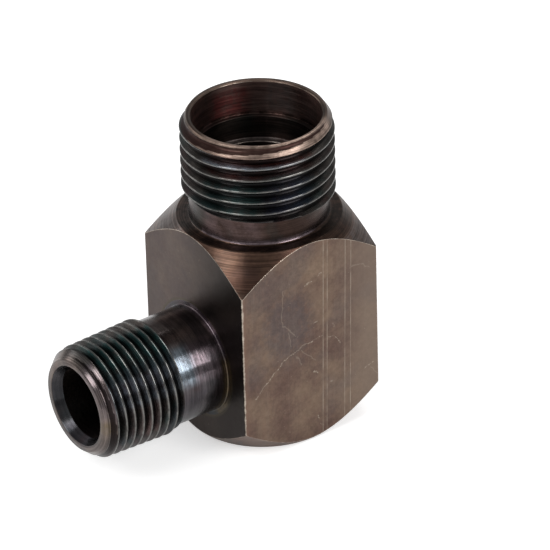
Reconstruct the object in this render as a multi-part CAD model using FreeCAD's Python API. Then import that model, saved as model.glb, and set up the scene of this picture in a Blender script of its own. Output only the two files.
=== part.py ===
"""Right-angle pipe elbow, turned and milled from one length of square steel bar.

The wide port points up along +Z and carries a parallel external thread round a stepped mouth.
The narrow port points along -X and carries an external taper pipe thread.
The origin is the centre of the round face that the elbow stands on, below the wide port's axis.
All sizes are in millimetres, and every radius is measured from its own port's axis.
"""
import FreeCAD, Part
import math
import os
from FreeCAD import Placement, Rotation, Vector

# Square bar, with its corners turned away to a cone at both ends
bar_width = 23.8
bar_edge_r = 0.3
body_height = 32.7
top_land_r = 11.8
base_land_r = 11.6
corner_cone_angle = 45.0

# Wide port: plain neck, then a parallel thread of 14 turns to the inch
wide_neck_r = 10.0
wide_neck_length = 4.05
wide_neck_flare = 0.6
wide_thread_r = 11.0
wide_thread_length = 11.85
wide_thread_pitch = 25.4 / 14
wide_thread_depth = 0.98
wide_crest_width = 0.23
wide_tip_chamfer = 1.05
# Depth below the rim of the groove's middle, where it first passes the side facing +X
first_groove_depth = 1.57
# The groove's flanks lean this far from square to the axis, and its section stands a little clear of the crest
thread_flank_angle = 30.0
groove_clearance = 0.08

# Stepped hole down the wide port, each depth taken from the rim
mouth_r = 9.28
mouth_depth = 5.4
mouth_chamfer = 0.2
seat_r = 8.6
seat_depth = 9.0
passage_r = 7.6
passage_below_side_axis = 2.0

# Narrow port: plain neck, then the taper that the crests of a fine thread of 18 turns to the inch lie on
side_axis_height = 12.6
side_neck_r = 7.95
side_neck_length = 8.4
side_neck_flare = 0.45
side_tip_r = 8.28
side_thread_length = 12.4
side_thread_taper = 1.0 / 16
side_thread_shoulder = 0.2
side_tip_chamfer = 1.36

# Hole along the narrow port, opened at the face by a countersink
side_bore_r = 5.25
side_countersink_r = 6.05
side_countersink_angle = 60.0

drill_point_angle = 118.0

half_bar = bar_width / 2
wide_thread_start = body_height + wide_neck_length
rim = wide_thread_start + wide_thread_length
side_thread_start = half_bar + side_neck_length
side_face = side_thread_start + side_thread_length

upright = Placement()
# Lays +Z of a turned form along -X of the elbow, at the height of the narrow port
sideways = Placement(Vector(0, 0, side_axis_height), Rotation(Vector(0, 1, 0), -90))


def tan_of(degrees):
    return math.tan(math.radians(degrees))


def turned(outline, place):
    """Solid turned about an axis, from the (radius, height) corners of its outline."""
    corners = [Vector(radius, 0, height) for radius, height in outline]
    profile = Part.Face(Part.makePolygon(corners + corners[:1]))
    solid = profile.revolve(Vector(0, 0, 0), Vector(0, 0, 1), 360)
    solid.Placement = place
    return solid


def neck_outline(root, flat, radius, flare):
    """A port's root inside the bar, then the small cone from the bar's flat into the neck's wall."""
    return [(0, root), (radius + flare, root), (radius + flare, flat), (radius, flat + flare)]


def corner_body():
    """Square bar standing on end, its corners turned to a cone at the top and at the base."""
    bar = Part.makeBox(bar_width, bar_width, body_height, Vector(-half_bar, -half_bar, 0))
    upright_edges = [edge for edge in bar.Edges if abs(edge.Length - body_height) < 1e-6
                     and abs(edge.tangentAt(edge.FirstParameter).z) > 0.5]
    bar = bar.makeFillet(bar_edge_r, upright_edges)
    outside_r = half_bar * math.sqrt(2)
    slope = tan_of(corner_cone_angle)
    turning = turned([
        (0, 0),
        (base_land_r, 0),
        (outside_r, (outside_r - base_land_r) * slope),
        (outside_r, body_height - (outside_r - top_land_r) * slope),
        (top_land_r, body_height),
        (0, body_height),
    ], upright)
    return bar.common(turning)


def thread_groove(groove_height):
    """Groove of the right-hand thread about +Z, swept along a helix that runs past both ends of the thread.

    Heights are taken from where the thread starts, and groove_height is a place of the groove's middle on +X.
    """
    spread = tan_of(thread_flank_angle)
    half_opening = (wide_thread_pitch - wide_crest_width) / 2
    half_mouth = half_opening + groove_clearance * spread
    half_root = half_opening - wide_thread_depth * spread
    mouth_r = wide_thread_r + groove_clearance
    root_r = wide_thread_r - wide_thread_depth
    section = Part.makePolygon([
        Vector(root_r, 0, -half_root),
        Vector(mouth_r, 0, -half_mouth),
        Vector(mouth_r, 0, half_mouth),
        Vector(root_r, 0, half_root),
        Vector(root_r, 0, -half_root),
    ])
    turns_below = math.ceil(groove_height / wide_thread_pitch) + 1
    start = groove_height - turns_below * wide_thread_pitch
    height = wide_thread_length + wide_thread_pitch - start
    cone_angle = 0
    helix = Part.makeLongHelix(wide_thread_pitch, height, wide_thread_r, cone_angle)
    groove = Part.Wire(helix).makePipeShell([section], True, True)
    groove.translate(Vector(0, 0, start))
    return groove


def wide_port():
    """Neck and parallel thread of the wide port, standing on the bar's top face."""
    neck = turned(neck_outline(side_axis_height, body_height, wide_neck_r, wide_neck_flare) + [
        (wide_neck_r, wide_thread_start),
        (0, wide_thread_start),
    ], upright)
    threaded = turned([
        (0, 0),
        (wide_thread_r, 0),
        (wide_thread_r, wide_thread_length - wide_tip_chamfer),
        (wide_thread_r - wide_tip_chamfer, wide_thread_length),
        (0, wide_thread_length),
    ], upright).cut(thread_groove(wide_thread_length - first_groove_depth))
    threaded.translate(Vector(0, 0, wide_thread_start))
    return neck.fuse(threaded)


def side_thread_r(distance):
    """Crest radius of the taper thread at this distance from the wide port's axis."""
    return side_tip_r + (side_face - distance) * side_thread_taper / 2


def side_port():
    """Neck and taper thread of the narrow port, standing on the bar's side."""
    neck = turned(neck_outline(0, half_bar, side_neck_r, side_neck_flare) + [
        (side_neck_r, side_thread_start),
        (0, side_thread_start),
    ], sideways)
    crest_start = side_thread_start + side_thread_shoulder
    chamfer_start = side_face - side_tip_chamfer
    rings = [
        (side_thread_r(crest_start) - side_thread_shoulder, side_thread_start),
        (side_thread_r(crest_start), crest_start),
        (side_thread_r(chamfer_start), chamfer_start),
        (side_tip_r - side_tip_chamfer, side_face),
    ]
    circles = [Part.Wire(Part.makeCircle(radius, Vector(0, 0, distance))) for radius, distance in rings]
    # Straight lofts between rings give so slight a taper far fewer facets than a turned cone
    taper = Part.makeLoft(circles, True, True)
    taper.Placement = sideways
    return neck.fuse(taper)


def wide_hole():
    """Mouth, seat and passage bored down the wide port, ending in the drill's point."""
    floor = side_axis_height - passage_below_side_axis
    point = passage_r / tan_of(drill_point_angle / 2)
    mouth_floor = rim - mouth_depth
    seat_floor = rim - seat_depth
    return turned([
        (0, floor - point),
        (passage_r, floor),
        (passage_r, seat_floor),
        (seat_r, seat_floor),
        (seat_r, mouth_floor),
        (mouth_r, mouth_floor),
        (mouth_r, rim - mouth_chamfer),
        (mouth_r + mouth_chamfer, rim),
        (0, rim),
    ], upright)


def side_hole():
    """Bore drilled from the narrow port's face to the wide passage, with its countersink."""
    point = side_bore_r / tan_of(drill_point_angle / 2)
    countersink = (side_countersink_r - side_bore_r) / tan_of(side_countersink_angle / 2)
    return turned([
        (0, -point),
        (side_bore_r, 0),
        (side_bore_r, side_face - countersink),
        (side_countersink_r, side_face),
        (0, side_face),
    ], sideways)


elbow = corner_body().fuse([wide_port(), side_port()])
elbow = elbow.cut([wide_hole(), side_hole()]).removeSplitter()

os.makedirs("parts", exist_ok=True)
elbow.Solids[0].exportStep("parts/elbow_body.step")
print("solids", len(elbow.Solids), "valid", elbow.isValid(), "volume mm3", round(elbow.Volume, 1))
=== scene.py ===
"""Looks of a right-angle pipe elbow in blackened steel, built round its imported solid.

Lengths are millimetres until a mesh is made, where MM turns them into the frame's metres.
The wide port points up along +Z and the narrow port along -X, as in the solid.
"""
import math
import bmesh
import bpy
import numpy as np
from mathutils import Matrix, Vector

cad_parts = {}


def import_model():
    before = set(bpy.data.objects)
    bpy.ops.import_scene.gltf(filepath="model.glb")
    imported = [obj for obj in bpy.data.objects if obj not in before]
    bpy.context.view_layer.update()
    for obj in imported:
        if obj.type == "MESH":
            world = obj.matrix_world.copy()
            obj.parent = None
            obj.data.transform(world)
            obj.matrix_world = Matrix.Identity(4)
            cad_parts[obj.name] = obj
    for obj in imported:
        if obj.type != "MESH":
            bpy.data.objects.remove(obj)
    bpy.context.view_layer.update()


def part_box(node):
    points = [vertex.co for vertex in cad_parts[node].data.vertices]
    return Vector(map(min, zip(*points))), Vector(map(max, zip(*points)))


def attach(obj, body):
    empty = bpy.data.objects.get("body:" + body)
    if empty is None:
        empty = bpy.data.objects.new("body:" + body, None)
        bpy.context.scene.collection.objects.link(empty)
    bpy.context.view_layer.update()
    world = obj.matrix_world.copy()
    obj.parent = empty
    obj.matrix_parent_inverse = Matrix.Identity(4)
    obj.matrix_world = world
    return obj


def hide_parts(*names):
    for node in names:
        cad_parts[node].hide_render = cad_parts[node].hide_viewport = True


MM = 0.001
NODE = "elbow_body"

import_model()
low, high = (np.array(corner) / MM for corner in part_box(NODE))

# Square bar, its width taken from the solid, and where the base's rows start round its flat middle
half_bar = high[0]
bar_edge_r = 0.3
body_height = 32.7
top_land_r = 11.8
base_land_r = 11.6
base_middle_r = 0.6

# Wide port
rim = high[2]
wide_neck_r = 10.0
wide_neck_top = 36.75
wide_neck_fillet = 0.6
wide_thread_r = 11.0
wide_tip_chamfer = 1.05
wide_chamfer_length = 1.55
wide_pitch = 25.4 / 14
wide_crest_height = 46.12
mouth_r = 9.28
mouth_floor = rim - 5.4
mouth_chamfer = 0.2
seat_r = 8.6
seat_floor = rim - 9.0
passage_r = 7.6
passage_floor = 10.6

# Narrow port
side_height = 12.6
side_face = -low[0]
side_neck_r = 7.95
side_neck_end = 19.9
side_neck_fillet = 0.45
side_tip_r = 8.28
side_taper = 1.0 / 16
side_tip_chamfer = 1.36
side_chamfer_length = 1.62
side_pitch = 25.4 / 18
side_crest_distance = 25.76
side_bore_r = 5.25
side_countersink_r = 6.05
side_countersink_angle = 60.0

# Thread forms: worn round crest, flanks at 30 degrees to the port's radius, rounded root
wide_crest_width = 0.23
wide_depth = 0.98
side_crest_width = 0.21
side_depth = 0.92
root_round = 0.16
flank_angle = 30.0
drill_point_angle = 118.0

# Worn edges: how far each one is rounded, and how far its bright wear runs on beyond
edge_round = 0.09
rim_round = 0.08
countersink_round = 0.06
wear_margin = 0.1

# Flat ring that the narrow port's skin keeps round the fillet at its foot
side_foot_margin = 0.3

# Light that the floor adds where the camera or a reflection looks at it, and the plain light all round
floor_glow = 0.5
mirrored_glow = 0.25
world_strength = 0.4

# Height above the floor, in metres, of the place that every lamp faces
lamp_target = 0.025

# Counts of columns round each port, and of rows in a rounded edge, a fillet and a chamfer
wide_columns = 192
side_columns = 176
edge_steps = 3
fillet_steps = 7
chamfer_rows = 16

# Least angle, in degrees, from the columns of the bar's rounded edge to the next plain column
column_gap = 0.3

# Least step that the rows make: between two in a thread, where a thread starts, and in a chamfer's groove
fine_step = 0.02

# Rounding of the small step where each thread starts
start_round = 0.004

# Where a chamfer's rows stop: so far short of the port's face, and so far outside the chamfer's inner edge
chamfer_stop = 0.06
wide_stop_r = 0.04
side_stop_r = 0.05

# How far past the seat's floor and the countersink the skin's rows join the drilled passages
join_depth = 1

# Points closer than the first are welded into one, and points nearer a plane than the second lie in it
weld_distance = 0.0015
plane_tolerance = 0.001

# A point of the surface nearer than this to the plane of a flat takes that flat's colours
flat_margin = 0.1

# Stains and painted patches of light and shade fade out over these degrees round a port, and over at most
# this length along it
patch_soft_turn = 12
patch_soft_length = 0.6

# Colours of the blackened steel, as shares of the light that it sends back
FLAT_DARK = (0.114, 0.073, 0.060)
FLAT_LIGHT = (0.188, 0.132, 0.096)
FLAT_BLUE = (0.098, 0.078, 0.076)
FLAT_GREY = (0.064, 0.054, 0.055)
FLAT_RED = (0.19, 0.115, 0.086)
FLAT_PALE = (0.20, 0.155, 0.125)
# Near black that paints shade and dark reflections onto the steel
PAINTED_SHADE_BLACK = (0.022, 0.016, 0.013)
SCRATCHED = (0.36, 0.30, 0.24)
BARE = (0.50, 0.43, 0.36)
CREST = (0.185, 0.18, 0.17)
TEAL = (0.022, 0.075, 0.076)
BLUE = (0.040, 0.052, 0.085)
VIOLET = (0.046, 0.036, 0.055)
RED = (0.085, 0.020, 0.016)
PINK = (0.16, 0.11, 0.11)
GOLD = (0.13, 0.098, 0.055)
# Pale colours that paint highlights and reflections where the lamps' light falls
PAINTED_BLUE_GLINT = (0.27, 0.32, 0.37)
PAINTED_PINK_GLINT = (0.24, 0.19, 0.21)
PAINTED_SHEEN = (0.16, 0.135, 0.128)
# Coppery wear that also paints a sheen on the lit front of the rim
COPPER_WEAR_AND_SHEEN = (0.46, 0.34, 0.28)
OLIVE = (0.075, 0.062, 0.042)
# Red oxide tint in the mouth, also painting the reflection of a lamp there
MOUTH_RED_AND_REFLECTION = (0.22, 0.060, 0.055)

# Marks on the flat that faces -Y, as runs of (x, z) places
SCRATCHES = [
    [(-10.0, 10.5), (-9.1, 11.5), (-8.1, 12.4), (-6.2, 13.9), (-4.9, 15.1), (-2.7, 15.8), (-1.4, 16.4),
     (-0.2, 16.4), (1.8, 16.8)],
    [(3.0, 16.0), (4.0, 15.9), (4.6, 15.1), (5.1, 14.3)],
]
FAINT_SCRATCHES = [
    [(-4.8, 26.7), (-4.8, 25.2), (-5.2, 22.1), (-4.9, 20.8), (-3.9, 19.8), (-2.8, 18.5)],
    [(-3.9, 19.3), (-3.6, 17.1)],
    [(-1.9, 15.7), (-0.5, 14.3), (0.7, 13.0)],
    [(6.9, 26.2), (8.0, 26.1), (9.0, 26.0), (10.5, 24.9)],
    [(10.5, 8.1), (11.8, 6.2)],
    [(-2.7, 15.1), (-1.8, 13.2)],
]
NICKS = [
    [(0.5, 19.3), (1.0, 19.4)],
    [(3.8, 18.0), (4.0, 17.4)],
    [(0.3, 11.4), (1.0, 10.7)],
    [(3.1, 8.5), (3.7, 8.3)],
    [(9.4, 8.4), (10.8, 8.9)],
    [(-0.9, 26.0), (0.2, 26.4)],
    [(1.3, 26.8), (1.9, 27.1)],
    [(0.9, 3.6), (1.2, 3.1)],
    [(1.3, 2.0), (1.7, 1.6)],
]

# Lines up the same flat: the x at which each one starts, and its lean towards +X for each millimetre up
UPRIGHT_SCRATCHES = [1.66, 2.37, 5.54, 6.55]
SCRATCH_LEAN = 0.024

# Middle of the bluish cloud on the same flat, as (x, z)
BLUE_CLOUD = (-4.2, 20.5)

# Zones of the surface, each with a finish of its own
(FLAT, TURNED, WIDE_NECK, WIDE_THREAD, RIM, MOUTH,
 SIDE_NECK, SIDE_THREAD, SIDE_TIP, COUNTERSINK, BORE) = range(11)


def tan_of(degrees):
    return math.tan(math.radians(degrees))


countersink_depth = (side_countersink_r - side_bore_r) / tan_of(side_countersink_angle / 2)
wide_join = seat_floor - join_depth
side_join = side_face - countersink_depth - join_depth


def bar_reach(azimuth):
    """Distance from the wide port's axis to the bar's side at each azimuth, with the bar's edges rounded."""
    from_flat = np.abs((np.degrees(azimuth) + 45) % 90 - 45)
    reach = half_bar / np.cos(np.radians(from_flat))
    centre = (half_bar - bar_edge_r) * math.sqrt(2)
    from_corner = np.radians(45 - from_flat)
    rounded = centre * np.cos(from_corner) + np.sqrt(
        np.maximum(bar_edge_r ** 2 - (centre * np.sin(from_corner)) ** 2, 0))
    in_edge = from_flat > math.degrees(math.atan((half_bar - bar_edge_r) / half_bar))
    return np.where(in_edge, rounded, reach)


def bar_edge_offsets():
    """Angles from a corner of the bar at which its rounded edge and the wear beside it need a column."""
    margin = math.degrees(math.atan((half_bar - bar_edge_r - wear_margin) / half_bar))
    tangent = math.degrees(math.atan((half_bar - bar_edge_r) / half_bar))
    return [45 - margin] + [(45 - tangent) * share for share in (1, 0.75, 0.5, 0.25, 0)]


def wide_azimuths():
    """Azimuths of the columns round the wide port's axis, with more at the bar's four edges."""
    degrees = set(np.round(np.arange(wide_columns) * 360 / wide_columns, 6))
    offsets = bar_edge_offsets()
    for corner in (45, 135, 225, 315):
        degrees -= {angle for angle in degrees if abs(angle - corner) < offsets[0] + column_gap}
        for offset in offsets:
            degrees |= {round(corner - offset, 6), round(corner + offset, 6)}
    return np.radians(np.array(sorted(degrees) + [360.0]))


class Outline:
    """Rows of a turned surface from end to end, each with a radius and a height for every column."""

    def __init__(self, count):
        self.count = count
        self.radius, self.height, self.wear, self.zone = [], [], [], []

    def row(self, radius, height, wear, zone):
        self.radius.append(np.broadcast_to(radius, self.count))
        self.height.append(np.broadcast_to(height, self.count))
        self.wear.append(np.broadcast_to(wear, self.count))
        self.zone.append(zone)

    def corners(self, points, zones, cuts, wears):
        """Rows along a run of corners, each inner one rounded by its cut and worn as its wear says.

        Zones gives the finish of each stretch between two corners.
        """
        points = [np.stack(np.broadcast_arrays(*point, np.zeros(self.count))[:2], -1) for point in points]
        lengths = [np.linalg.norm(b - a, axis=-1, keepdims=True) for a, b in zip(points, points[1:])]
        ways = [(b - a) / length for a, b, length in zip(points, points[1:], lengths)]
        self.row(points[0][:, 0], points[0][:, 1], 0, zones[0])
        for i in range(1, len(points) - 1):
            corner, before, after = points[i], ways[i - 1], ways[i]
            room = np.minimum(lengths[i - 1], lengths[i])
            cut = np.minimum(cuts[i - 1], 0.3 * room)
            worn = wears[i - 1] > 0
            margin = np.minimum(wear_margin, 0.15 * room)
            steps = fillet_steps if cuts[i - 1] > 2 * edge_round else edge_steps
            if worn:
                self.row(*(corner - before * (cut + margin)).T, 0, zones[i - 1])
            for k in range(steps + 1):
                t = k / steps
                place = corner - before * cut * (1 - t) ** 2 + after * cut * t ** 2
                wear = wears[i - 1] * (0.55 + 0.45 * math.sin(math.pi * t))
                self.row(*place.T, wear, zones[i - 1] if t < 0.5 else zones[i])
            if worn:
                self.row(*(corner + after * (cut + margin)).T, 0, zones[i])
        self.row(points[-1][:, 0], points[-1][:, 1], 0, zones[-1])


def thread_form(pitch, crest_width, depth):
    """One pitch of a thread's form, as (distance along from the crest's middle, depth, wear) in order.

    Wear is 1 on the crest and -1 in the root; finishes that have a root colour darken the root.
    """
    slope = tan_of(flank_angle)
    crest = crest_width / 2
    foot = crest + depth * slope
    lean = math.radians(flank_angle)
    # The crest curves over from its middle into the flank
    half = [(crest * (1 - (1 - t) ** 2 + t ** 2 * math.sin(lean)), crest * t ** 2 * math.cos(lean), wear)
            for t, wear in ((0, 1), (0.35, 1), (0.7, 0.95), (1, 0.7))]
    half += [
        (crest + depth * 0.3 * slope, depth * 0.3, 0.05),
        (crest + depth * 0.6 * slope, depth * 0.6, -0.5),
        (foot - root_round * slope, depth - root_round, -0.9),
        (foot + root_round * 0.15, depth - root_round * 0.3, -1),
        (foot + root_round * 0.9, depth, -1),
    ]
    half = [point for point in half if point[0] < pitch / 2 - fine_step]
    half.append((pitch / 2, depth, -1))
    return [(-along, deep, wear) for along, deep, wear in half[:0:-1]] + half[:-1]


def thread_rows(outline, angles, form, pitch, crest_at, start, end, crest_r, zone):
    """Rows that follow a right-hand thread from start to end, held at both ends.

    Gives back a function that finds the groove's depth, in every column, at a height.
    """
    along = np.array([point[0] for point in form] + [pitch - form[-1][0]])
    deep = np.array([point[1] for point in form] + [form[0][1]])
    worn = np.array([point[2] for point in form] + [form[0][2]])
    lead = pitch * angles / (2 * math.pi)

    def at(height, values):
        phase = (height - crest_at - lead - form[0][0]) % pitch + form[0][0]
        return np.interp(phase, np.append(along[:-1], form[0][0] + pitch), values)

    first = math.floor((start - crest_at) / pitch) - 2
    last = math.ceil((end - crest_at) / pitch) + 1
    for turn in range(first, last):
        for distance, depth, wear in form:
            height = np.clip(crest_at + pitch * turn + distance + lead, start, end)
            held = (height <= start) | (height >= end)
            depth_here = np.where(held, at(height, deep), depth)
            wear_here = np.where(held, at(height, worn), wear)
            outline.row(crest_r(height) - depth_here, height, wear_here, zone)
    return lambda height: at(height, deep)


def chamfer_over_thread(outline, depth_at, crest_r, start, end, end_r, zone):
    """Rows of a tip's chamfer, which the last turns of the thread's groove cross."""
    for k in range(1, chamfer_rows + 1):
        height = start + (end - start) * k / chamfer_rows
        cone = crest_r(start) + (end_r - crest_r(start)) * k / chamfer_rows
        thread = crest_r(height) - depth_at(height)
        in_groove = (thread < cone - fine_step) & (k < chamfer_rows)
        outline.row(np.where(in_groove, thread, cone), height, np.where(in_groove, -1.0, 0.25), zone)


def upright(radius, height, angle):
    return np.stack([radius * np.cos(angle), radius * np.sin(angle), height], -1)


def sideways(radius, distance, angle):
    return np.stack([-distance, radius * np.sin(angle), side_height + radius * np.cos(angle)], -1)


class Skin:
    """Collects points and faces of the elbow's surface before they become one closed mesh."""

    def __init__(self):
        self.points, self.faces, self.zones, self.wear = [], [], [], []

    def grid(self, outline, angles, place, skip=lambda row, column: False):
        first = sum(len(points) for points in self.points)
        count = outline.count
        for radius, height, wear in zip(outline.radius, outline.height, outline.wear):
            self.points.append(place(radius, height, angles))
            self.wear.append(np.array(wear))
        for row in range(len(outline.radius) - 1):
            for column in range(count - 1):
                if not skip(row, column):
                    a = first + row * count + column
                    self.faces.append((a, a + 1, a + count + 1, a + count))
                    self.zones.append(outline.zone[row])

    def mesh(self, name):
        data = bpy.data.meshes.new(name)
        data.from_pydata((np.concatenate(self.points) * MM).tolist(), [], self.faces)
        data.polygons.foreach_set("material_index", self.zones)
        wear = data.attributes.new("wear", "FLOAT", "POINT")
        wear.data.foreach_set("value", np.concatenate(self.wear).astype(np.float32))
        return data


def on_left_flat(angle):
    """Is this azimuth on the flat that carries the narrow port, clear of the bar's rounded edges?"""
    return abs(math.degrees(angle) - 180) <= 45 - bar_edge_offsets()[0] + 1e-6


def body_outline(angles):
    """The bar from the middle of its base up, and the wide port's neck to where its thread starts."""
    outline = Outline(len(angles))
    reach = bar_reach(angles)
    base_top = reach - base_land_r
    cone_foot = body_height - (reach - top_land_r)
    outline.corners(
        [(base_middle_r, 0), (base_land_r, 0), (reach, base_top), (reach, cone_foot),
         (top_land_r, body_height), (wide_neck_r, body_height), (wide_neck_r, wide_neck_top),
         (wide_neck_r + fine_step, wide_neck_top)],
        zones=[TURNED, TURNED, FLAT, TURNED, TURNED, WIDE_NECK, WIDE_NECK],
        cuts=[edge_round, edge_round, edge_round, edge_round, wide_neck_fillet, start_round],
        wears=[0.6, 1, 1, 0.5, 0, 0])
    return outline


def wide_crest_r(height):
    """Radius of the parallel thread's crests, the same at every height."""
    return wide_thread_r


def side_crest_r(distance):
    """Radius of the taper thread's crests at this distance from the wide port's axis."""
    return side_tip_r + (side_face - distance) * side_taper / 2


def wide_port(outline, angles):
    """Thread, chamfered rim and stepped mouth of the wide port, down to where its passage starts."""
    form = thread_form(wide_pitch, wide_crest_width, wide_depth)
    chamfer_start = rim - wide_chamfer_length
    tip_r = wide_thread_r - wide_tip_chamfer
    depth_at = thread_rows(
        outline, angles, form, wide_pitch, wide_crest_height, wide_neck_top, chamfer_start,
        wide_crest_r, WIDE_THREAD)
    chamfer_over_thread(
        outline, depth_at, wide_crest_r, chamfer_start, rim - chamfer_stop,
        tip_r + wide_stop_r, RIM)
    outline.corners(
        [(tip_r, rim), (mouth_r + mouth_chamfer, rim), (mouth_r, rim - mouth_chamfer),
         (mouth_r, mouth_floor), (seat_r, mouth_floor), (seat_r, seat_floor),
         (passage_r, seat_floor), (passage_r, wide_join)],
        zones=[RIM, RIM, MOUTH, BORE, BORE, BORE, BORE],
        cuts=[rim_round, rim_round, edge_round, edge_round, edge_round, edge_round],
        wears=[0.8, 1, 0, 0, 0, 1])


def side_port(angles):
    """The narrow port from its foot on the bar's flat out to its face, and into its countersunk bore."""
    outline = Outline(len(angles))
    chamfer_start = side_face - side_chamfer_length
    tip_r = side_tip_r - side_tip_chamfer
    outline.corners(
        [(side_neck_r + side_neck_fillet + side_foot_margin, half_bar), (side_neck_r, half_bar),
         (side_neck_r, side_neck_end), (side_neck_r + fine_step, side_neck_end)],
        zones=[SIDE_NECK, SIDE_NECK, SIDE_NECK],
        cuts=[side_neck_fillet, start_round],
        wears=[0, 0])
    form = thread_form(side_pitch, side_crest_width, side_depth)
    depth_at = thread_rows(
        outline, angles, form, side_pitch, side_crest_distance, side_neck_end, chamfer_start,
        side_crest_r, SIDE_THREAD)
    chamfer_over_thread(
        outline, depth_at, side_crest_r, chamfer_start, side_face - chamfer_stop,
        tip_r + side_stop_r, SIDE_TIP)
    outline.corners(
        [(tip_r, side_face), (side_countersink_r, side_face),
         (side_bore_r, side_face - countersink_depth), (side_bore_r, side_join)],
        zones=[SIDE_TIP, COUNTERSINK, BORE],
        cuts=[edge_round, countersink_round],
        wears=[0.8, 0.3])
    return outline


def lathe_object(name, rings, angles, place):
    """Closed turned solid from its (radius, height) rings, the last of them a point on the axis."""
    around = angles[:-1]
    count = len(around)
    points = []
    for radius, height in rings[:-1]:
        points.append(place(np.full(count, radius), np.full(count, height), around))
    points.append(place(np.zeros(1), np.full(1, rings[-1][1]), np.zeros(1)))
    faces = [tuple(range(count))[::-1]]
    for ring in range(len(rings) - 2):
        for i in range(count):
            a, b = ring * count + i, ring * count + (i + 1) % count
            faces.append((a, b, b + count, a + count))
    last_ring = (len(rings) - 2) * count
    tip = last_ring + count
    for i in range(count):
        faces.append((last_ring + i, last_ring + (i + 1) % count, tip))
    data = bpy.data.meshes.new(name)
    data.from_pydata((np.concatenate(points) * MM).tolist(), [], faces)
    made = bmesh.new()
    made.from_mesh(data)
    bmesh.ops.recalc_face_normals(made, faces=made.faces)
    made.to_mesh(data)
    made.free()
    thing = bpy.data.objects.new(name, data)
    bpy.context.scene.collection.objects.link(thing)
    return thing


def in_plane(thing, axis, place):
    """Do all points of a face or an edge lie in the plane across this axis at this place?"""
    return all(abs(vert.co[axis] / MM - place) < plane_tolerance for vert in thing.verts)


def passages(wide_angles, side_angles):
    """The two drilled passages, joined where they meet, as a mesh that is open at each port's end."""
    point = 1 / tan_of(drill_point_angle / 2)
    down_rings = [(passage_r, wide_join), (passage_r, passage_floor), (0, passage_floor - passage_r * point)]
    across_rings = [(side_bore_r, side_join), (side_bore_r, 0), (0, -side_bore_r * point)]
    down = lathe_object("down", down_rings, wide_angles, upright)
    across = lathe_object("across", across_rings, side_angles, sideways)
    join = down.modifiers.new("join", "BOOLEAN")
    join.operation = "UNION"
    join.solver = "EXACT"
    join.object = across
    bpy.context.view_layer.update()
    ready = down.evaluated_get(bpy.context.evaluated_depsgraph_get())
    data = bpy.data.meshes.new_from_object(ready)
    made = bmesh.new()
    made.from_mesh(data)
    caps = [face for face in made.faces if in_plane(face, 2, wide_join) or in_plane(face, 0, -side_join)]
    bmesh.ops.delete(made, geom=caps, context="FACES_ONLY")
    made.to_mesh(data)
    made.free()
    for thing in (down, across):
        bpy.data.objects.remove(thing)
    return data


def fill_hole(made, edges, zone):
    filled = bmesh.ops.triangle_fill(made, edges=edges, use_beauty=True, use_dissolve=False)
    for thing in filled["geom"]:
        if isinstance(thing, bmesh.types.BMFace):
            thing.material_index = zone


def elbow_mesh():
    """The whole elbow as one closed mesh."""
    wide_angles = wide_azimuths()
    side_angles = np.radians(np.linspace(0, 360, side_columns + 1))
    skin = Skin()
    outline = body_outline(wide_angles)
    flat_rows = [row for row, zone in enumerate(outline.zone) if zone == FLAT]
    # The flats' tall band is left open where the narrow port stands, and filled round its foot below
    flat_bottom = [row for row in flat_rows if outline.wear[row].max() == 0][0]
    offsets = bar_edge_offsets()
    from_corner = np.abs(np.degrees(wide_angles) % 90 - 45)
    edge_wear = np.interp(from_corner, [0, offsets[1], offsets[0]], [1, 0.55, 0])
    for row in flat_rows:
        outline.wear[row] = np.maximum(outline.wear[row], edge_wear)
    outline.wear[flat_rows[-1] + 1] = np.maximum(outline.wear[flat_rows[-1] + 1], edge_wear)
    wide_port(outline, wide_angles)
    left = [on_left_flat(angle) for angle in wide_angles]
    skin.grid(outline, wide_angles, upright,
              lambda row, column: row == flat_bottom and left[column] and left[column + 1])
    skin.grid(side_port(side_angles), side_angles, sideways)
    data = skin.mesh(NODE + "_skin")
    inside = passages(wide_angles, side_angles)

    made = bmesh.new()
    made.from_mesh(data)
    wear = made.verts.layers.float["wear"]
    known = len(made.faces)
    made.from_mesh(inside)
    made.faces.ensure_lookup_table()
    for face in made.faces[known:]:
        face.material_index = BORE
    bmesh.ops.remove_doubles(made, verts=made.verts, dist=weld_distance * MM)
    open_edges = [edge for edge in made.edges if len(edge.link_faces) == 1]
    base = [edge for edge in open_edges if in_plane(edge, 2, 0)]
    left_flat = [edge for edge in open_edges if in_plane(edge, 0, -half_bar)]
    fill_hole(made, base, TURNED)
    fill_hole(made, left_flat, FLAT)
    bmesh.ops.recalc_face_normals(made, faces=made.faces)
    for face in made.faces:
        face.smooth = True
    print("open edges", sum(len(edge.link_faces) != 2 for edge in made.edges), "faces", len(made.faces),
          "triangles", sum(len(face.verts) - 2 for face in made.faces))
    made.to_mesh(data)
    made.free()
    bpy.data.meshes.remove(inside)
    return data


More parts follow.
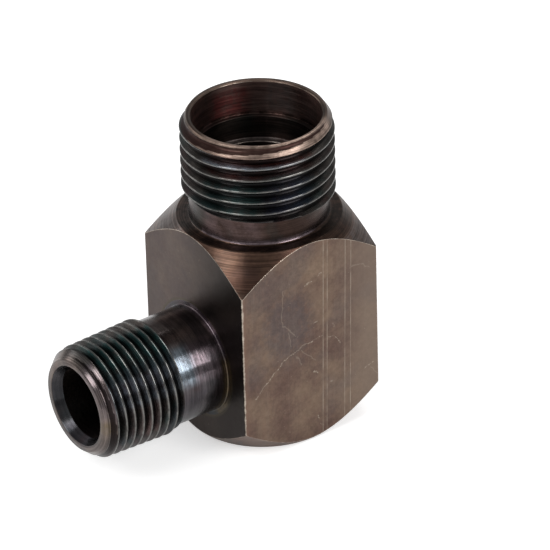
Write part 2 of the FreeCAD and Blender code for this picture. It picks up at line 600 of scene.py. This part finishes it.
class Finish:
    """Nodes of one finish of the steel. Places are in millimetres in the part's own frame."""

    def __init__(self, name, roughness, anisotropy=0):
        self.material = bpy.data.materials.new(name)
        self.material.use_nodes = True
        self.nodes = self.material.node_tree.nodes
        self.links = self.material.node_tree.links
        self.shader = self.nodes["Principled BSDF"]
        self.shader.inputs["Metallic"].default_value = 1
        self.shader.inputs["Roughness"].default_value = roughness
        self.shader.inputs["Anisotropic"].default_value = anisotropy
        coordinates = self.node("ShaderNodeTexCoord").outputs["Object"]
        self.place = self.vector("SCALE", coordinates, scale=1 / MM)
        self.x, self.y, self.z = self.node("ShaderNodeSeparateXYZ", (self.place,)).outputs

    def node(self, kind, values=(), **settings):
        made = self.nodes.new(kind)
        for name, value in settings.items():
            setattr(made, name, value)
        for socket, value in zip(made.inputs, values):
            self.feed(socket, value)
        return made

    def feed(self, socket, value):
        if isinstance(value, bpy.types.NodeSocket):
            self.links.new(value, socket)
        else:
            socket.default_value = value

    def math(self, operation, *values):
        return self.node("ShaderNodeMath", values, operation=operation).outputs[0]

    def vector(self, operation, *values, scale=None):
        made = self.node("ShaderNodeVectorMath", values, operation=operation)
        if scale is not None:
            self.feed(made.inputs["Scale"], scale)
        return made.outputs["Value" if operation in ("DOT_PRODUCT", "LENGTH") else "Vector"]

    def combine(self, x, y, z):
        return self.node("ShaderNodeCombineXYZ", (x, y, z)).outputs[0]

    def noise(self, place, scale, detail=3, roughness=0.5, offset=0):
        """Noise from 0 to 1, with scale in turns per millimetre of place."""
        moved = self.vector("ADD", place, (offset, offset * 1.7, -offset)) if offset else place
        made = self.node("ShaderNodeTexNoise")
        settings = {"Vector": moved, "Scale": scale, "Detail": detail, "Roughness": roughness}
        for name, value in settings.items():
            self.feed(made.inputs[name], value)
        return made.outputs[0]

    def ramp(self, value, start, end, low=0.0, high=1.0):
        """Goes smoothly from low to high while value goes from start to end."""
        values = (value, start, end, low, high)
        return self.node("ShaderNodeMapRange", values, interpolation_type="SMOOTHSTEP").outputs[0]

    def mix(self, factor, a, b):
        made = self.node("ShaderNodeMix", data_type="RGBA")
        for index, value in ((0, factor), (6, a), (7, b)):
            self.feed(made.inputs[index], (*value, 1) if isinstance(value, tuple) else value)
        return made.outputs[2]

    def most(self, first, *others):
        for other in others:
            first = self.math("MAXIMUM", first, other)
        return first

    def rings(self, port, across, around):
        """A place whose noise runs in rings about a port's axis, finer across them than around them."""
        if port == "wide":
            along, a, b = self.z, self.x, self.y
        else:
            along, a, b = self.x, self.y, self.math("SUBTRACT", self.z, side_height)
        squares = self.math("ADD", self.math("MULTIPLY", a, a), self.math("MULTIPLY", b, b))
        radius = self.math("SQRT", squares)
        outward = self.math("MULTIPLY_ADD", radius, across, self.math("MULTIPLY", b, around))
        return self.combine(self.math("MULTIPLY", a, around), outward, self.math("MULTIPLY", along, across))

    def across_rings(self, port):
        """Direction across the rings that turning leaves, along which they spread a reflection.

        It leans out by a share of the radius, so that a face square to the axis has one too.
        """
        lean = 0.03
        if port == "wide":
            return self.vector("MULTIPLY_ADD", self.place, (lean, lean, 0), (0, 0, 1))
        return self.vector("MULTIPLY_ADD", self.place, (0, lean, lean), (-1, 0, -lean * side_height))

    def turn(self, port):
        """Degrees round a port's axis: from +X round the wide port, from +Z round the narrow one."""
        if port == "wide":
            angle = self.math("ARCTAN2", self.y, self.x)
        else:
            angle = self.math("ARCTAN2", self.y, self.math("SUBTRACT", self.z, side_height))
        return self.math("DEGREES", angle)

    def facing(self, across):
        """Mask of the flat that faces -X or -Y, where across is the place along X or along Y."""
        return self.math("LESS_THAN", across, -half_bar + flat_margin)

    def near(self, value, low, high, soft):
        """Mask that is 1 from low to high and fades out over soft beyond both."""
        gap = self.math("ABSOLUTE", self.math("SUBTRACT", value, (low + high) / 2))
        return self.ramp(gap, (high - low) / 2, (high - low) / 2 + soft, 1, 0)

    def worn(self, start, end, patch=0.9):
        """Bright bare steel along the edges that the wear attribute marks, broken up by noise."""
        broken = self.noise(self.place, 1.1, 5, 0.7, offset=31)
        return self.ramp(self.math("MULTIPLY_ADD", broken, patch, self.wear()), start, end)

    def wear(self):
        return self.node("ShaderNodeAttribute", attribute_name="wear").outputs["Fac"]

    def tinted(self, colour, strength, teal=TEAL, violet=VIOLET, red=RED, size=0.16):
        """Patches of the colours that a thin oxide shows."""
        for offset, tint in ((5, teal), (17, violet), (43, red)):
            patch = self.ramp(self.noise(self.place, size, 3, 0.55, offset), 0.5, 0.68, 0, strength)
            colour = self.mix(patch, colour, tint)
        return colour

    def finish(self, colour, roughness, heights):
        """Joins colour, roughness and a list of (height, size in millimetres) bumps to the shader."""
        self.feed(self.shader.inputs["Base Color"], colour)
        self.feed(self.shader.inputs["Roughness"], roughness)
        normal = None
        for height, size in heights:
            bump = self.node("ShaderNodeBump")
            self.feed(bump.inputs["Height"], height)
            bump.inputs["Distance"].default_value = size * MM
            if normal:
                self.feed(bump.inputs["Normal"], normal)
            normal = bump.outputs[0]
        if normal:
            self.feed(self.shader.inputs["Normal"], normal)
        return self.material


def segment(finish, place, start, end, width):
    """Mask of a thin line between two places on the flat that faces -Y, each as (x, z)."""
    a, b = Vector((start[0], 0, start[1])), Vector((end[0], 0, end[1]))
    way = b - a
    from_start = finish.vector("SUBTRACT", place, tuple(a))
    share = finish.math("DIVIDE", finish.vector("DOT_PRODUCT", from_start, tuple(way)), way.length_squared)
    share = finish.node("ShaderNodeClamp", (share, 0, 1)).outputs[0]
    nearest = finish.vector("SCALE", tuple(way), scale=share)
    gap = finish.vector("LENGTH", finish.vector("SUBTRACT", from_start, nearest))
    return finish.ramp(gap, width * 0.3, width, 1, 0)


def runs(finish, place, lines, width):
    """Mask of several thin lines, each a run of (x, z) places."""
    mask = None
    for line in lines:
        for start, end in zip(line, line[1:]):
            part = segment(finish, place, start, end, width)
            mask = finish.most(mask, part) if mask else part
    return mask


def scratches(finish, front):
    """Mask of the scratches and nicks on the flat that faces -Y, from 0 to 1."""
    wobble = finish.node("ShaderNodeTexNoise")
    finish.feed(wobble.inputs["Vector"], finish.place)
    finish.feed(wobble.inputs["Scale"], 1.4)
    centred = finish.vector("SUBTRACT", wobble.outputs["Color"], (0.5, 0.5, 0.5))
    shift = finish.vector("SCALE", centred, scale=0.7)
    on_face = finish.vector("MULTIPLY", finish.place, (1, 0, 1))
    wavy = finish.vector("MULTIPLY", finish.vector("ADD", on_face, shift), (1, 0, 1))
    broken = finish.ramp(finish.noise(finish.place, 4.5, 3, 0.7, offset=71), 0.45, 0.6, 0.1, 1)
    marks = finish.math("MULTIPLY", runs(finish, wavy, SCRATCHES, 0.13), broken)
    faint = finish.math("MULTIPLY", runs(finish, wavy, FAINT_SCRATCHES, 0.11), 0.3)
    nicks = finish.math("MULTIPLY", runs(finish, wavy, NICKS, 0.16), broken)
    marks = finish.most(marks, faint, nicks)
    for foot in UPRIGHT_SCRATCHES:
        top = (foot + SCRATCH_LEAN * body_height, body_height)
        line = segment(finish, on_face, (foot, 0), top, 0.085)
        kept = finish.noise(finish.vector("MULTIPLY", finish.place, (1, 0, 0.35)), 1, 4, 0.7, foot * 7)
        marks = finish.most(marks, finish.math("MULTIPLY", line, finish.ramp(kept, 0.38, 0.64, 0.3, 1)))
    return finish.math("MULTIPLY", marks, front)


def drawn_flats():
    """Flats of the drawn bar: mottled oxide, drawing lines up the bar, stained patches, scratches, specks and
    painted shade.
    """
    finish = Finish("drawn_flats", 0.34)
    front = finish.facing(finish.y)
    left = finish.facing(finish.x)
    lines = finish.noise(finish.vector("MULTIPLY", finish.place, (3.2, 3.2, 0.09)), 1, 4, 0.6)
    cloud = finish.noise(finish.place, 0.13, 5, 0.6, offset=3)
    mottle = finish.noise(finish.place, 0.9, 4, 0.65, offset=9)
    grain = finish.noise(finish.place, 1.5, 4, 0.7, offset=19)
    colour = finish.mix(finish.ramp(cloud, 0.34, 0.66), FLAT_DARK, FLAT_LIGHT)
    off_cloud = finish.vector("SUBTRACT", finish.place, (BLUE_CLOUD[0], -half_bar, BLUE_CLOUD[1]))
    from_cloud = finish.vector("LENGTH", finish.vector("MULTIPLY", off_cloud, (1, 1, 0.75)))
    blue_cloud = finish.ramp(finish.math("MULTIPLY_ADD", mottle, 3.5, from_cloud), 4.0, 7.5, 0.75, 0)
    stain = finish.ramp(finish.noise(finish.place, 0.1, 3, 0.5, offset=24), 0.52, 0.64, 0, 0.5)
    colour = finish.mix(finish.most(stain, blue_cloud), colour, FLAT_BLUE)
    colour = finish.mix(finish.ramp(mottle, 0.45, 0.75, 0, 0.3), colour, FLAT_RED)
    colour = finish.mix(finish.ramp(lines, 0.5, 0.72, 0, 0.2), colour, FLAT_PALE)
    colour = finish.vector("SCALE", colour, scale=finish.ramp(grain, 0.3, 0.7, 0.88, 1.12))
    # The flat that faces -Y is redder along its edge beside the narrow port, and paler towards +X
    front_edge = finish.ramp(finish.math("MULTIPLY_ADD", mottle, 1.2, finish.x), -11.4, -10.0, 0.6, 0)
    colour = finish.mix(finish.math("MULTIPLY", front, front_edge), colour, FLAT_RED)
    paler = finish.ramp(finish.math("MULTIPLY_ADD", mottle, 4, finish.x), 5, 13, 0, 0.6)
    colour = finish.mix(finish.math("MULTIPLY", front, paler), colour, FLAT_PALE)
    # The flat that carries the narrow port is greyer, with painted shade under the port and a painted dark
    # reflection towards -Y
    colour = finish.mix(finish.math("MULTIPLY", left, 0.6), colour, FLAT_GREY)
    painted_dark_reflection = finish.ramp(finish.math("MULTIPLY_ADD", mottle, 2.5, finish.y), -7.5, 7.5, 0.92, 0)
    under = finish.ramp(finish.math("MULTIPLY_ADD", mottle, 3, finish.z), 5, 12, 0.7, 0)
    colour = finish.mix(finish.math("MULTIPLY", left, finish.most(painted_dark_reflection, under)), colour, PAINTED_SHADE_BLACK)
    over_port = finish.math("SUBTRACT", finish.z, side_height)
    from_port = finish.vector("LENGTH", finish.combine(0, finish.y, over_port))
    ring = finish.near(from_port, side_neck_r, side_neck_r + 0.9, 0.4)
    colour = finish.mix(finish.math("MULTIPLY", left, finish.math("MULTIPLY", ring, 0.7)), colour, OLIVE)
    marks = scratches(finish, front)
    specks = finish.ramp(finish.noise(finish.place, 2.2, 2, 0.6, offset=88), 0.71, 0.76, 0, 0.7)
    marks = finish.most(marks, finish.math("MULTIPLY", specks, finish.ramp(left, 0, 1, 1, 0.3)))
    colour = finish.mix(finish.math("MULTIPLY", marks, 0.8), colour, SCRATCHED)
    worn = finish.worn(1.25, 1.75, 1.3)
    colour = finish.mix(worn, colour, BARE)
    roughness = finish.ramp(mottle, 0.3, 0.7, 0.29, 0.39)
    roughness = finish.math("SUBTRACT", roughness, finish.math("MULTIPLY", worn, 0.08))
    bump = finish.math("SUBTRACT", finish.math("MULTIPLY", lines, 0.6), marks)
    return finish.finish(colour, roughness, [(bump, 0.006), (mottle, 0.008)])


def turned_steel(name, port, dark, light, rough, tint=0.25, marks=0.45, bare=BARE, wear=(1.2, 1.7),
                 anisotropy=0.75, ridge=0.004, ring_size=2.6, cloud_size=0.18, stains_and_painted_light=(), root=None):
    """Steel that a lathe has turned and the oxide has darkened, with fine rings about its port.

    Tint and marks are the strengths of the oxide's colours and the rings, and ridge the finest rings' height.
    Patches of oxide stain and of painted highlight, reflection and shade each give a colour, its strength,
    the degrees round the port and the places along it where they lie.
    """
    finish = Finish(name, rough, anisotropy)
    finish.feed(finish.shader.inputs["Tangent"], finish.across_rings(port))
    coarse = finish.noise(finish.rings(port, ring_size, 0.06), 1, 4, 0.75)
    fine = finish.noise(finish.rings(port, ring_size * 4, 0.3), 1, 2, 0.6, offset=13)
    cloud = finish.noise(finish.place, cloud_size, 4, 0.6, offset=7)
    mottle = finish.noise(finish.place, 0.8, 3, 0.6, offset=37)
    colour = finish.mix(finish.ramp(cloud, 0.35, 0.65), dark, light)
    colour = finish.tinted(colour, tint)
    turn = finish.turn(port)
    along = finish.z if port == "wide" else finish.math("MULTIPLY", finish.x, -1)
    for stain, strength, (turn_low, turn_high), (low, high) in stains_and_painted_light:
        spread = finish.near(turn, turn_low, turn_high, patch_soft_turn)
        reach = finish.near(along, low, high, min(patch_soft_length, 2 * (high - low)))
        patch = finish.math("MULTIPLY", spread, reach)
        patch = finish.math("MULTIPLY", patch, finish.ramp(mottle, 0.3, 0.62, 0.3 * strength, strength))
        colour = finish.mix(patch, colour, stain)
    streak = finish.ramp(coarse, 0.3, 0.7, 1 - marks, 1 + marks)
    colour = finish.vector("SCALE", colour, scale=streak)
    if root:
        colour = finish.mix(finish.ramp(finish.wear(), -0.3, -1.0, 0, 0.9), colour, root)
    worn = finish.worn(*wear)
    colour = finish.mix(worn, colour, bare)
    roughness = finish.math("ADD", finish.ramp(fine, 0.3, 0.7, -0.05, 0.06), rough)
    roughness = finish.math("SUBTRACT", roughness, finish.math("MULTIPLY", worn, 0.1))
    return finish.finish(colour, roughness, [(coarse, ridge * 2), (fine, ridge)])


def finishes():
    """The finish of each zone of the elbow's surface, in the zones' order."""
    thread = dict(
        dark=(0.030, 0.028, 0.027), light=(0.072, 0.064, 0.059), rough=0.25, tint=0.25, marks=0.3,
        bare=CREST, wear=(1.1, 1.65), cloud_size=0.3, root=(0.009, 0.008, 0.008))
    # Painted reflections on the back-left and right cones, painted shade at the right cone's top, and the
    # flat ring round the neck painted black as a dark reflection
    cone_painted_light = [
        (PAINTED_SHEEN, 0.95, (105, 165), (26, 32.6)),
        (PAINTED_SHEEN, 0.8, (-70, -20), (26, 30.8)),
        (PAINTED_SHADE_BLACK, 0.6, (-75, -10), (31.6, 32.6)),
        (PAINTED_SHADE_BLACK, 0.85, (-180, 180), (32.68, 32.76)),
    ]
    # Oxide tints on the wide thread, and a painted pale blue highlight along its top crest
    wide_tints_and_glint = [
        (RED, 0.7, (-165, -88), (44.2, 47.2)),
        (TEAL, 0.5, (-165, -130), (37.8, 42.6)),
        (BLUE, 0.6, (-115, -88), (37.8, 42.6)),
        (TEAL, 0.4, (-115, -88), (43.2, 44.0)),
        (PAINTED_BLUE_GLINT, 0.8, (-165, -90), (45.4, 45.6)),
    ]
    # A painted pink highlight along the front of the fillet at the wide neck's foot, and a pink tint on the
    # neck
    neck_tint_and_glint = [
        (PAINTED_PINK_GLINT, 0.8, (-178, -84), (32.75, 33.1)),
        (PINK, 0.4, (-170, -130), (33.5, 37)),
    ]
    # In the mouth, a red tint where a lamp's painted reflection falls, a pale painted reflection, and the
    # step painted black as shade
    mouth_tint_and_painted_light = [
        (MOUTH_RED_AND_REFLECTION, 0.9, (68, 92), (43.5, 47.3)),
        (PAINTED_SHEEN, 0.7, (24, 40), (43.9, 48)),
        (PAINTED_SHADE_BLACK, 0.95, (-180, 180), (42.9, 43.4)),
    ]
    # On the narrow port's neck, painted highlights where the lamps fall and on its top, painted highlights on
    # the fillet at its foot, and a gold tint there
    side_neck_glints_and_tint = [
        (PAINTED_BLUE_GLINT, 0.8, (-72, -42), (17.0, 20)),
        (PAINTED_PINK_GLINT, 0.7, (-72, -42), (12.9, 17.0)),
        (PAINTED_SHEEN, 0.8, (-30, 15), (15.0, 20)),
        (PAINTED_PINK_GLINT, 0.6, (-62, 0), (11, 12.4)),
        (GOLD, 0.8, (-140, -70), (11, 12.4)),
    ]
    # On the narrow port's thread, a teal oxide tint that also paints the flanks' glints, a painted blue
    # highlight on the crests, and a pink tint
    side_thread_tints_and_glints = [
        (TEAL, 0.7, (-40, -5), (20, 31)),
        (PAINTED_BLUE_GLINT, 0.35, (-72, -44), (20, 31)),
        (PINK, 0.3, (-110, -84), (23.5, 29)),
    ]
    # Gold specks at the narrow port's tip, and a painted pink sheen on its chamfer
    tip_specks_and_sheen = [
        (GOLD, 0.8, (-94, -86), (31.7, 32.4)),
        (PAINTED_PINK_GLINT, 0.35, (-80, -20), (31, 33)),
    ]
    # On the rim, coppery wear at the front that also paints a sheen there, and a red tint under the chamfer
    rim_tints_and_sheen = [
        (COPPER_WEAR_AND_SHEEN, 0.85, (-170, -55), (47.1, 49)),
        (RED, 0.3, (-165, -60), (46.6, 47.0)),
    ]
    # A painted highlight along a ring deep in the bore
    bore_painted_highlight = [
        (PAINTED_SHEEN, 0.9, (-180, 180), (39.55, 39.65)),
    ]
    return [
        drawn_flats(),
        turned_steel(
            "turned_cones", "wide", dark=(0.082, 0.048, 0.036), light=(0.145, 0.085, 0.060), rough=0.33,
            tint=0.12, marks=0.5, ring_size=4.5, stains_and_painted_light=cone_painted_light),
        turned_steel(
            "wide_neck", "wide", dark=(0.030, 0.019, 0.016), light=(0.052, 0.033, 0.027), rough=0.28,
            tint=0.15, marks=0.3, stains_and_painted_light=neck_tint_and_glint),
        turned_steel("wide_thread", "wide", **thread, stains_and_painted_light=wide_tints_and_glint),
        turned_steel(
            "wide_rim", "wide", dark=(0.085, 0.060, 0.048), light=(0.165, 0.118, 0.094), rough=0.38,
            tint=0.1, marks=0.6, anisotropy=0.5, stains_and_painted_light=rim_tints_and_sheen, root=(0.030, 0.011, 0.010)),
        turned_steel(
            "mouth", "wide", dark=(0.165, 0.101, 0.089), light=(0.255, 0.160, 0.140), rough=0.34,
            tint=0.2, stains_and_painted_light=mouth_tint_and_painted_light),
        turned_steel(
            "side_neck", "side", dark=(0.046, 0.042, 0.045), light=(0.078, 0.070, 0.074), rough=0.19,
            tint=0.2, marks=0.4, ridge=0.006, stains_and_painted_light=side_neck_glints_and_tint),
        turned_steel("side_thread", "side", **thread, stains_and_painted_light=side_thread_tints_and_glints),
        turned_steel(
            "side_tip", "side", dark=(0.078, 0.068, 0.066), light=(0.155, 0.125, 0.110), rough=0.26,
            tint=0.15, marks=0.6, stains_and_painted_light=tip_specks_and_sheen, root=(0.009, 0.006, 0.006)),
        turned_steel(
            "countersink", "side", dark=(0.032, 0.032, 0.035), light=(0.064, 0.060, 0.064), rough=0.22,
            tint=0.2, marks=0.3),
        turned_steel(
            "bores", "wide", dark=(0.030, 0.023, 0.020), light=(0.050, 0.038, 0.034), rough=0.36,
            tint=0.1, stains_and_painted_light=bore_painted_highlight),
    ]


def elbow():
    """The elbow's skin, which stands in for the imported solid."""
    data = elbow_mesh()
    skin = bpy.data.objects.new(NODE + "_skin", data)
    bpy.context.scene.collection.objects.link(skin)
    for material in finishes():
        data.materials.append(material)
    shade = skin.modifiers.new("shade", "WEIGHTED_NORMAL")
    shade.mode = "FACE_AREA"
    shade.weight = 80
    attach(skin, "root")
    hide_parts(NODE)


def floor_material():
    """Pale floor, white to the camera and pale in a reflection, with a soft shadow under the elbow."""
    material = bpy.data.materials.new("floor_white")
    material.use_nodes = True
    nodes, links = material.node_tree.nodes, material.node_tree.links
    shader = nodes["Principled BSDF"]
    shader.inputs["Base Color"].default_value = (0.92, 0.92, 0.92, 1)
    shader.inputs["Roughness"].default_value = 0.9
    path = nodes.new("ShaderNodeLightPath")
    seen = nodes.new("ShaderNodeMath")
    seen.operation = "MAXIMUM"
    links.new(path.outputs["Is Camera Ray"], seen.inputs[0])
    links.new(path.outputs["Is Glossy Ray"], seen.inputs[1])
    mirrored = nodes.new("ShaderNodeMath")
    mirrored.operation = "MULTIPLY"
    mirrored.inputs[1].default_value = mirrored_glow
    links.new(seen.outputs[0], mirrored.inputs[0])
    glow = nodes.new("ShaderNodeMath")
    glow.operation = "MULTIPLY_ADD"
    glow.inputs[1].default_value = floor_glow - mirrored_glow
    links.new(path.outputs["Is Camera Ray"], glow.inputs[0])
    links.new(mirrored.outputs[0], glow.inputs[2])
    shader.inputs["Emission Color"].default_value = (1, 1, 1, 1)
    links.new(glow.outputs[0], shader.inputs["Emission Strength"])
    return material


def floor():
    bpy.ops.mesh.primitive_plane_add(size=6, location=(0, 0, 0))
    plane = bpy.context.object
    plane.name = "floor"
    plane.data.materials.append(floor_material())


def area_light(name, azimuth, elevation, distance, wide, tall, radiance):
    """A softbox that faces the elbow, its direction in degrees and its brightness as seen in a mirror.

    Its distance and its sides are in metres.
    """
    lamp = bpy.data.lights.new(name, "AREA")
    lamp.shape = "RECTANGLE"
    lamp.size = wide
    lamp.size_y = tall
    lamp.energy = radiance * math.pi * wide * tall
    thing = bpy.data.objects.new(name, lamp)
    level = math.cos(math.radians(elevation))
    away = Vector((level * math.cos(math.radians(azimuth)), level * math.sin(math.radians(azimuth)),
                   math.sin(math.radians(elevation))))
    thing.location = away * distance + Vector((0, 0, lamp_target))
    thing.rotation_euler = away.to_track_quat("Z", "Y").to_euler()
    bpy.context.scene.collection.objects.link(thing)


def world():
    sky = bpy.data.worlds.new("studio")
    sky.use_nodes = True
    sky.node_tree.nodes["Background"].inputs["Color"].default_value = (1, 1, 1, 1)
    sky.node_tree.nodes["Background"].inputs["Strength"].default_value = world_strength
    bpy.context.scene.world = sky


def camera():
    """The photograph's camera, found by fitting the elbow's outline.

    Its angles are in radians, and its lengths in halves of the bar's width.
    """
    unit = half_bar * MM
    azimuth = -0.61935
    elevation = 0.54460
    roll = -0.02813
    distance = 62 * unit
    aside = Vector((-0.14588, -0.71464)) * unit
    focal_pixels = 5116.08
    frame_pixels = 550
    right = Vector((math.cos(azimuth), math.sin(azimuth), 0))
    back = Vector((math.sin(azimuth) * math.cos(elevation), -math.cos(azimuth) * math.cos(elevation),
                   math.sin(elevation)))
    up = back.cross(right)
    across = right * math.cos(roll) + up * math.sin(roll)
    above = up * math.cos(roll) - right * math.sin(roll)
    place = Vector((0, 0, unit)) - across * aside.x - above * aside.y + back * distance
    lens = bpy.data.cameras.new("photo")
    lens.sensor_width = 36
    lens.lens = focal_pixels / frame_pixels * lens.sensor_width
    lens.clip_start = 0.01
    lens.clip_end = 20
    thing = bpy.data.objects.new("photo", lens)
    thing.matrix_world = Matrix((
        (across.x, above.x, back.x, place.x),
        (across.y, above.y, back.y, place.y),
        (across.z, above.z, back.z, place.z),
        (0, 0, 0, 1)))
    bpy.context.scene.collection.objects.link(thing)
    bpy.context.scene.camera = thing


elbow()
floor()
world()
camera()
area_light("right_box", azimuth=-76.5, elevation=31.6, distance=0.8, wide=0.40, tall=0.40, radiance=5.5)
area_light("left_box", azimuth=-175, elevation=45, distance=0.8, wide=0.36, tall=0.36, radiance=5)
area_light("back_box", azimuth=22, elevation=57.6, distance=0.9, wide=0.40, tall=0.30, radiance=2.5)
area_light("far_left_box", azimuth=121.5, elevation=16, distance=0.9, wide=0.50, tall=0.24, radiance=2)
bpy.context.scene.view_settings.view_transform = "Standard"
